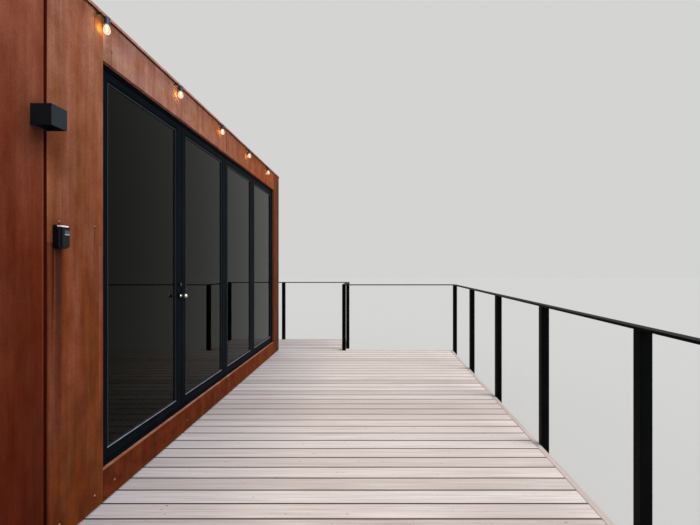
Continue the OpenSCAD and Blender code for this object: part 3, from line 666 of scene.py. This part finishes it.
def strip_marks(tree, parts, sway, base):
    """The brighter cover strip over the middle joint, with dark lines along both its edges."""
    off = add(tree, "Math", {0: parts.outputs["X"], 1: strip_x}, operation="SUBTRACT")
    off = add(tree, "Math", {0: off}, operation="ABSOLUTE")
    for colour, stops in (("#a2592c", [(0.0, "#595959"), (0.022, "#595959"),
                                       (0.023, "#000000"), (0.040, "#000000")]),
                          ("#45180b", [(0.020, "#000000"), (0.026, "#c0c0c0"),
                                       (0.031, "#c0c0c0"), (0.038, "#000000")])):
        amount = add(tree, "ValToRGB", {0: off}, stops)
        base = add(tree, "Mix", {0: amount, 6: base, 7: colour}, data_type="RGBA")
    return base


sheet_screws = [(x, front_y, z) for x in (-3.560, -3.130, -2.700, -2.350, -2.080, 2.260, 2.455)
                for z in (0.471, 2.009, 3.221)]
fascia_screws = [(-1.926 + k * 0.986, front_y, 3.090) for k in range(5)]
sill_screws = [(-1.895 + k * 0.996, front_y, 0.470) for k in range(5)]
# The upright sheets go from dark at the foot to pale at the top: painted shade and sky light.
steel_near = weathered_steel(
    "weathering_steel_near", ["#4e1c09", "#551f0b", "#642813", "#7e432d", "#b8755c"],
    "Z", 0.39, 3.3, 0.0, [("#5b3414", 190, 600, 0.12, 0.16), ("#762f10", 170, 500, 0.08, 0.2),
                          ("#a36a59", 130, 700, 0.0, 0.3)],
    [place for place in sheet_screws if place[0] < joint], near_marks)
steel_mid = weathered_steel(
    "weathering_steel_mid", ["#53250e", "#68331b", "#7b4427", "#955f45", "#b6836d"],
    "Z", 0.39, 3.3, 1.7, [("#7d572b", 120, 800, 0.2, 0.35), ("#94481c", 130, 420, 0.3, 0.5),
                          ("#a8766a", 90, 700, 0.0, 0.5)],
    [place for place in sheet_screws if -2.4 < place[0] < -2.0], wall_marks)
steel_far = weathered_steel(
    "weathering_steel_far", ["#582c17", "#63351f", "#6f3b25"], "Z", 0.39, 3.3, 2.3,
    [("#8c4b23", 110, 460, 0.3, 0.3), ("#8f5a4d", 90, 400, 0.1, 0.3)])
steel_fascia = weathered_steel(
    "weathering_steel_fascia", ["#b18a7d", "#b58672", "#a4694a", "#a2562f", "#984e2c"],
    "X", -2.0, 2.5, 3.1, [("#8c6742", 160, 110, 0.4, 0.3), ("#b0602e", 150, 120, 0.25, 0.45),
                          ("#a5767a", 170, 90, 0.5, 0.05)], fascia_screws, strip_marks)
steel_cap = weathered_steel(
    "weathering_steel_cap", ["#c6998c", "#bb8775", "#ac664b"], "X", -2.4, 2.5, 3.9,
    [("#8f5a42", 160, 60, 0.3, 0.5), ("#d0aaa0", 90, 60, 0.5, 0.2)])
steel_sill = weathered_steel(
    "weathering_steel_sill", ["#54230f", "#602c14", "#7c3d1a"], "X", -2.0, 2.2, 4.6,
    [("#6b4a1f", 90, 70, 0.3, 0.55), ("#7f2f17", 80, 60, 0.4, 0.6)], sill_screws, strip_marks)
# Paler rust for the sill's upward faces and the screw heads: painted sky light.
painted_light_steel = weathered_steel(
    "weathering_steel_painted_light", ["#b78a78", "#bd9484"], "X", -2.0, 2.2, 5.2,
    [("#a0623a", 220, 60, 0.5, 0.6)])
# The returns inside the joint: painted dark as the shade in the narrow gap, darkest at the foot.
joint_shade_steel = weathered_steel(
    "weathering_steel_joint_shade", ["#3e1307", "#5e1e0b", "#72250f"], "Z", 0.39, 3.3, 6.1,
    [("#4c1a0a", 30, 260, 0.3, 0.3)])
steel_rear = weathered_steel(
    "weathering_steel_rear", ["#683216", "#783c20", "#87492d", "#965b44"], "Z", 0.39, 3.3, 7.4,
    [("#8a5c30", 210, 620, 0.2, 0.25), ("#9c4f22", 180, 480, 0.25, 0.35)])


def front_finish(middle, normal):
    """The near, the middle and the far panel, and the returns inside the joint, painted dark as
    shade.
    """
    if abs(middle.x - joint) < 0.012 and middle.y > front_y + 0.002:
        return 3
    return 0 if middle.x < joint else 1 if middle.x < 0 else 2


trays = (("front_panels", "front_sheets", [steel_near, steel_mid, steel_far, joint_shade_steel],
          front_finish),
         ("fascia_panels", "fascia_sheets", [steel_fascia], None),
         # The sill's upward faces take the paler rust, painted sky light.
         ("sill_panels", "sill_sheets", [steel_sill, painted_light_steel],
          lambda middle, normal: int(normal.z > 0.5 and middle.z > foot_z)),
         ("rear_cladding", "rear_sheets", [steel_rear], None),
         ("end_cladding", "end_sheets", [steel_rear], None))
for node, name, finishes, pick in trays:
    eased(node, name, finishes, 1.2, pick=pick)
eased("corner_trims", "corner_angles", [steel_far], 1.0)
eased("roof_cap", "cap_edge", [steel_cap], 1.2)

# Cladding screws
# Domed screws of the same steel, 13 mm across, painted paler than the sheet round them as a
# highlight. They stand in upright rows near each sheet's edges.
rear_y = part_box("rear_cladding")[1].y
clad_low, clad_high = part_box("end_cladding")
shape = bmesh.new()
spots = [(place, (0, -1, 0)) for place in sheet_screws + fascia_screws + sill_screws]
for z in (0.471, 2.009, 3.180):
    spots += [((x, rear_y, z), (0, 1, 0))
              for x in (-3.560, -2.170, -2.020, -0.630, -0.480, 0.910, 1.060, 2.440)]
    spots += [((x, y, z), (way, 0, 0)) for y in (0.320, 1.400, 1.555, 2.640)
              for x, way in ((clad_low.x, -1), (clad_high.x, 1))]
for place, out in spots:
    dome(shape, place, out, 6.5, 3.5)
settle(shape, "cladding_screws", [painted_light_steel], smooth=40)

# Door frame and leaves
# Extruded aluminium, mitred and crimped at the corners, with a glazing bead set back round
# each pane. The anthracite powder coat is near black with a blue cast.

# Powder coat: satin, with a faint haze of dust. Its texture is drawn coarser than the real one,
# which is too fine to show.
anthracite = grained("anthracite_powder_coat", [(1.2, 1.2, 1.2, 2.0), (220, 220, 500, 3.0)],
                     ("#070b0f", "#0b1219"), (0.36, 0.48), (0.1, 0.1), (0.35, 0.7),
                     look={"Specular IOR Level": 0.006})
eased("door_frame", "outer_frame", [anthracite], 1.5)
eased("traffic_leaf", "hinged_leaf", [anthracite], 1.5, body="door_leaf")
eased("folding_leaves", "folded_leaves", [anthracite], 1.5)
dress(anthracite, "frame_hinges", "leaf_hinges")

# Glazing gaskets
# Extruded black rubber strips pressed between the beads and the glass, on both faces. A
# silicone seal is drawn round them outside, slate grey, and paler along the bottom, a painted
# highlight.

# Black rubber: dull, a dark line round the pane.
gasket_rubber = grained("gasket_rubber", [(4, 4, 4, 2.0)], "#0a0a0b", (0.595, 0.655))
glass_low, glass_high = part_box("traffic_glass")
leaf_low, leaf_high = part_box("traffic_leaf")
folding_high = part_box("folding_leaves")[1]
leaf_step = (folding_high.x - leaf_high.x) / 3
bite, gasket, lip, seal = 0.014, 0.007, 0.0015, 0.008
seal_in, seal_out = 0.009, 0.0108
jamb_stile = glass_low.x + bite - leaf_low.x
stile = leaf_high.x - glass_high.x + bite
# Silicone: smooth and satin, slate grey, and a paler grey for the bottom that is a painted
# highlight.
silicone = [grained(name, [(60, 60, 60, 3.0)], tones, 0.5, spread=(0.35, 0.65),
                    look={"Specular IOR Level": 0.2})
            for name, tones in (("painted_highlight_silicone", ("#626a71", "#7d858c")),
                                ("slate_silicone", ("#10171d", "#161f27")))]
for name, body, first, last in (("hinged_leaf", "door_leaf", 0, 1),
                                ("folded_leaf", "cabin", 1, 4)):
    shape, sealed = bmesh.new(), bmesh.new()
    for i in range(first, last):
        x0 = leaf_low.x + i * leaf_step + (jamb_stile if i == 0 else stile)
        x1 = leaf_high.x + i * leaf_step - (jamb_stile if i == 3 else stile)
        z0, z1 = glass_low.z + bite, glass_high.z - bite
        for y0, y1 in ((glass_low.y - lip, glass_low.y), (glass_high.y, glass_high.y + lip)):
            for low, high in (((x0, z0), (x1, z0 + gasket)), ((x0, z1 - gasket), (x1, z1)),
                              ((x0, z0 + gasket), (x0 + gasket, z1 - gasket)),
                              ((x1 - gasket, z0 + gasket), (x1, z1 - gasket))):
                ease(shape, box_piece(shape, (low[0], y0, low[1]), (high[0], y1, high[1])), 0.6)
        y0, y1 = glass_low.y - seal_out, glass_low.y - seal_in
        for low, high in (((x0 - seal, z0 - seal), (x1 + seal, z0)),
                          ((x0 - seal, z1), (x1 + seal, z1 + seal)),
                          ((x0 - seal, z0), (x0, z1)), ((x1, z0), (x1 + seal, z1))):
            ease(sealed, box_piece(sealed, (low[0], y0, low[1]), (high[0], y1, high[1])), 0.6)
    # The bottom strips take the paler grey, a painted highlight.
    for face in sealed.faces:
        face.material_index = 0 if face.calc_center_median().z < z0 + 0.0002 else 1
    settle(shape, name + "_gaskets", [gasket_rubber], body)
    settle(sealed, name + "_seals", silicone, body)

# Glass units
# Sealed double glass units, clamped between the gaskets. Their solar tint mirrors the deck
# and keeps the room behind them dark.
solar_glass, tree = new_finish("tinted_glass")
add(tree, "OutputMaterial", {"Surface": add(tree, "BsdfPrincipled", {
    "Base Color": "#1e2620", "Roughness": 0.0, "Transmission Weight": 1.0, "IOR": 1.15,
    "Specular Tint": "#c2cc92"})})
dress(solar_glass, "traffic_glass", "folding_glass")

# Door knobs and plates
# A knob turned from stainless bar on each face, on a round plate, with a lock plate above it.
# Both are brushed, and the knob's ball is polished by use.

# Brushed stainless steel: pale, with a soft round gloss.
stainless = grained("brushed_stainless", [(0.6, 20, 20, 2.0)], "#dbd9d5", (0.24, 0.4),
                    look=metal)
dress(stainless, "door_knobs")
dress(anthracite, "handle_plates")

# Lock cylinders
# A nickel-plated profile cylinder passes through the leaf, held by a screw from its edge. It
# stands a little proud of each lock plate, with a narrow keyway.
plate_low, plate_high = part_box("handle_plates")
lock_x = (plate_low.x + plate_high.x) / 2
lock_z = plate_high.z - 0.017
proud, keyway_t = 0.005, 0.0004
barrel, keyway = bmesh.new(), bmesh.new()
for y, out in ((plate_low.y, -1), (plate_high.y, 1)):
    turn = Matrix.Rotation(math.radians(90), 4, "X")
    bmesh.ops.create_cone(barrel, cap_ends=True, segments=32, radius1=0.0085, radius2=0.0085,
                          depth=proud, matrix=Matrix.Translation(
                              (lock_x, y + out * proud / 2, lock_z + 0.003)) @ turn)
    tip = y + out * proud
    for shape, half, near, far, low, high in (
            (barrel, 0.005, y, tip, -0.013, 0),
            (keyway, 0.0008, tip, tip + out * keyway_t, -0.002, 0.008)):
        box_piece(shape, (lock_x - half, min(near, far), lock_z + low),
                  (lock_x + half, max(near, far), lock_z + high))
# Satin nickel: greyer and duller than the knob.
satin_nickel = grained("satin_nickel", [(1, 1, 1, 2.0)], "#77777a", (0.35, 0.5), look=metal)
settle(barrel, "lock_cylinders", [satin_nickel], "door_leaf", smooth=40)
settle(keyway, "keyways", [gasket_rubber], "door_leaf")

# Wall light
# A cast aluminium cube, open above and below over two sunk lenses. Its coat is a satin
# blue-grey that shows paler where it faces the sky.
housing = grained("slate_satin_coat", [(1.5, 1.5, 1.5, 2.0)], ("#0c1015", "#11161c"), 0.4,
                  (0.15, 0.1), look={"Specular IOR Level": 0.42, "Specular Tint": "#a9c8e0"})
eased("wall_light", "cube_light", [housing], 1.5, 3)
# Frosted glass, unlit: pale grey and dull.
frosted = grained("frosted_lens", [(2, 2, 2, 2.0)], "#8f8f8c", 0.6, (0.2, 0.2))
dress(frosted, "light_lens")

# Key safe
# A moulded black box with a pillowed rim, screwed to the sheet, with a sliding front cover
# and a grey shutter over its dials.

# Moulded plastic: black, with a fine pebble that softens its gloss. The pebble is drawn coarser
# than the real one, which is too fine to show.
safe_plastic = grained("moulded_black_plastic", [(1.5, 1.5, 1.5, 2.0)],
                       ("#05080b", "#0a0e13"), 0.3, (0.1, 0.1), look={"Specular IOR Level": 0.15})
eased("key_safe", "safe_body", [safe_plastic], 12, 8, back=safe_high.y)
eased("key_safe_cover", "safe_cover", [safe_plastic], 5, 5, back=safe_low.y)
cover_low, cover_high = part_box("key_safe_cover")
# Satin plastic in the shutter's two greys, and a pale strip that wraps the cover's top corner as a
# painted highlight.
shutter_and_highlight_plastics = [grained(name, [(3, 3, 3, 2.0)], tones, 0.35)
         for name, tones in (("slate_shutter_plastic", ("#2c3944", "#374653")),
                             ("grey_shutter_plastic", ("#8490a0", "#98a2b0")),
                             ("painted_highlight_plastic", ("#eadfda", "#f3eae6")))]
window_x = cover_low.x + 0.016
window_z = cover_high.z - 0.046
shape = bmesh.new()
for low, high in (((window_x, -0.0010, 0.0), (window_x + 0.032, 0.002, 0.024)),
                  ((window_x, -0.0016, 0.0), (window_x + 0.032, 0.002, 0.0055)),
                  ((cover_low.x - 0.003, -0.0008, 0.040), (window_x + 0.026, 0.004, 0.047)),
                  ((cover_low.x - 0.0068, -0.0008, 0.0405),
                   (cover_low.x - 0.0008, 0.022, 0.0475))):
    number = len(shape.faces)
    ease(shape, box_piece(shape, (low[0], cover_low.y + low[1], window_z + low[2]),
                          (high[0], cover_low.y + high[1], window_z + high[2])), 0.9, 3)
    for face in list(shape.faces)[number:]:
        face.material_index = 2 if low[2] > 0.03 else 1 if high[2] < 0.01 else 0
settle(shape, "safe_shutter", shutter_and_highlight_plastics)

# Light string
# Zinc-plated clips hold a black rubber cable under the cap, and six moulded sockets hang from
# it with clear pear-shaped lamps. Each lamp has two crossed hairpin filaments that glow warm.

# Weathered zinc: a dark grey metal with hardly any shine left.
dress(grained("zinc_plated_clip", [(8, 8, 8, 2.0)], "#4e4a49", (0.5, 0.7), look=metal),
      "cable_clips")
# Sun-bleached black rubber, matt with dust.
dress(grained("dusty_cable_rubber", [(30, 6, 6, 2.0)], ("#120806", "#1c0f0c"), 0.8,
              spread=(0.35, 0.7), look={"Specular IOR Level": 0.1}), "light_cable")
# Hard moulded plastic: slate grey with a soft gloss.
dress(grained("slate_socket_plastic", [(3, 3, 3, 2.0)], ("#1c232c", "#262e38"), 0.35),
      "lamp_sockets")
# Thin clear glass, which the light inside warms: cream at the rim, greyer where the wire shows.
lamp_glass, tree = new_finish("warm_lamp_glass")
rim = add(tree, "LayerWeight", {"Blend": 0.4}).outputs["Facing"]
warm = add(tree, "ValToRGB", {0: rim}, [(0.0, "#b3aa9e"), (0.4, "#e6dccf"), (1.0, "#ffe9d2")])
add(tree, "OutputMaterial", {"Surface": add(tree, "BsdfPrincipled", {
    "Base Color": "#fff3e4", "Roughness": 0.02, "IOR": 1.05, "Transmission Weight": 1.0,
    "Emission Color": warm, "Emission Strength": 0.5})})
lamp_low, lamp_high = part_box("lamps")
lamp_y = (lamp_low.y + lamp_high.y) / 2
lamp_r = (lamp_high.y - lamp_low.y) / 2
lamp_step = 0.940
lamp_xs = [lamp_low.x + lamp_r + k * lamp_step for k in range(6)]
shape = bmesh.new()
for x in lamp_xs:
    # The blown bulb: radius and height in mm down from the socket, spun round its axis.
    line = [shape.verts.new((x + r / 1000, lamp_y, lamp_high.z - drop / 1000))
            for r, drop in ((9.0, 0), (11.5, 5), (15.0, 13), (18.0, 22), (19.5, 31), (19.0, 40),
                            (16.0, 48), (11.0, 53.5), (5.5, 56.2), (0.0, 57.0))]
    edges = [shape.edges.new(pair) for pair in zip(line, line[1:])]
    bmesh.ops.spin(shape, geom=line + edges, cent=(x, lamp_y, 0), axis=(0, 0, 1),
                   angle=2 * math.pi, steps=24, use_merge=True)
bmesh.ops.remove_doubles(shape, verts=shape.verts, dist=0.00002)
bmesh.ops.holes_fill(shape, edges=[edge for edge in shape.edges if edge.is_boundary])
bmesh.ops.recalc_face_normals(shape, faces=shape.faces)
bulbs = settle(shape, "bulbs", [lamp_glass], smooth=50)
bulbs.visible_shadow = False
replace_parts(bulbs, "lamps")
# Tungsten wire, white hot. It is 2 mm thick here, so that it shows.
hot_wire, tree = new_finish("hot_filament")
wave = add(tree, "TexNoise", {"Vector": add(tree, "Mapping", {
    "Vector": add(tree, "TexCoord").outputs["Object"], "Scale": per_mm(4, 4, 4)}), "Scale": 1.0})
add(tree, "OutputMaterial", {"Surface": add(tree, "BsdfPrincipled", {
    "Base Color": "#d8a060", "Roughness": 0.5,
    "Emission Color": add(tree, "ValToRGB", {0: wave}, [(0.3, "#fff1d2"), (0.7, "#fffdf6")]),
    "Emission Strength": 1.0})})


def hairpin(shape, middle, reach, drop, wire):
    """A round wire that goes down on one side of the middle and up on the other, in metres."""
    start = middle - reach
    made = bmesh.ops.create_circle(shape, cap_ends=True, segments=6, radius=wire,
                                   matrix=Matrix.Translation(start))
    ring = list({edge for vert in made["verts"] for edge in vert.link_edges})
    axis = reach.cross(Vector((0, 0, 1))).normalized()
    for step in (-drop, None, drop):
        if step is None:
            made = bmesh.ops.spin(shape, geom=ring, cent=middle - Vector((0, 0, drop)),
                                  axis=axis, angle=math.pi, steps=8)["geom_last"]
        else:
            made = bmesh.ops.extrude_edge_only(shape, edges=ring)["geom"]
        verts = {g for g in made if isinstance(g, bmesh.types.BMVert)}
        bmesh.ops.translate(shape, verts=list(verts), vec=(0, 0, step or 0))
        ring = [g for g in made if isinstance(g, bmesh.types.BMEdge) and set(g.verts) <= verts]
    bmesh.ops.holes_fill(shape, edges=[edge for edge in shape.edges if edge.is_boundary])
    bmesh.ops.recalc_face_normals(shape, faces=shape.faces)


wire_r, hairpin_r = 0.001, 0.005
shape = bmesh.new()
for x in lamp_xs:
    top = Vector((x, lamp_y, lamp_high.z - 0.006))
    for reach, drop in (((0, hairpin_r, 0), 0.032), ((hairpin_r, 0, 0), 0.026)):
        hairpin(shape, top, Vector(reach), drop, wire_r)
    # The glow is a point beside the filament, on the side that lights the fascia.
    glow = bpy.data.lights.new("lamp_glow", "POINT")
    glow.color = linear("#ffd21c")[:3]
    glow.energy = 0.24
    glow.shadow_soft_size = 0.012
    glow_light = bpy.data.objects.new("lamp_glow", glow)
    bpy.context.scene.collection.objects.link(glow_light)
    glow_light.location = (top.x - 0.020, lamp_y + 0.008, top.z - 0.030)
    glow_light.visible_glossy = False
    glow_light.visible_transmission = False
settle(shape, "filaments", [hot_wire], smooth=60).visible_shadow = False
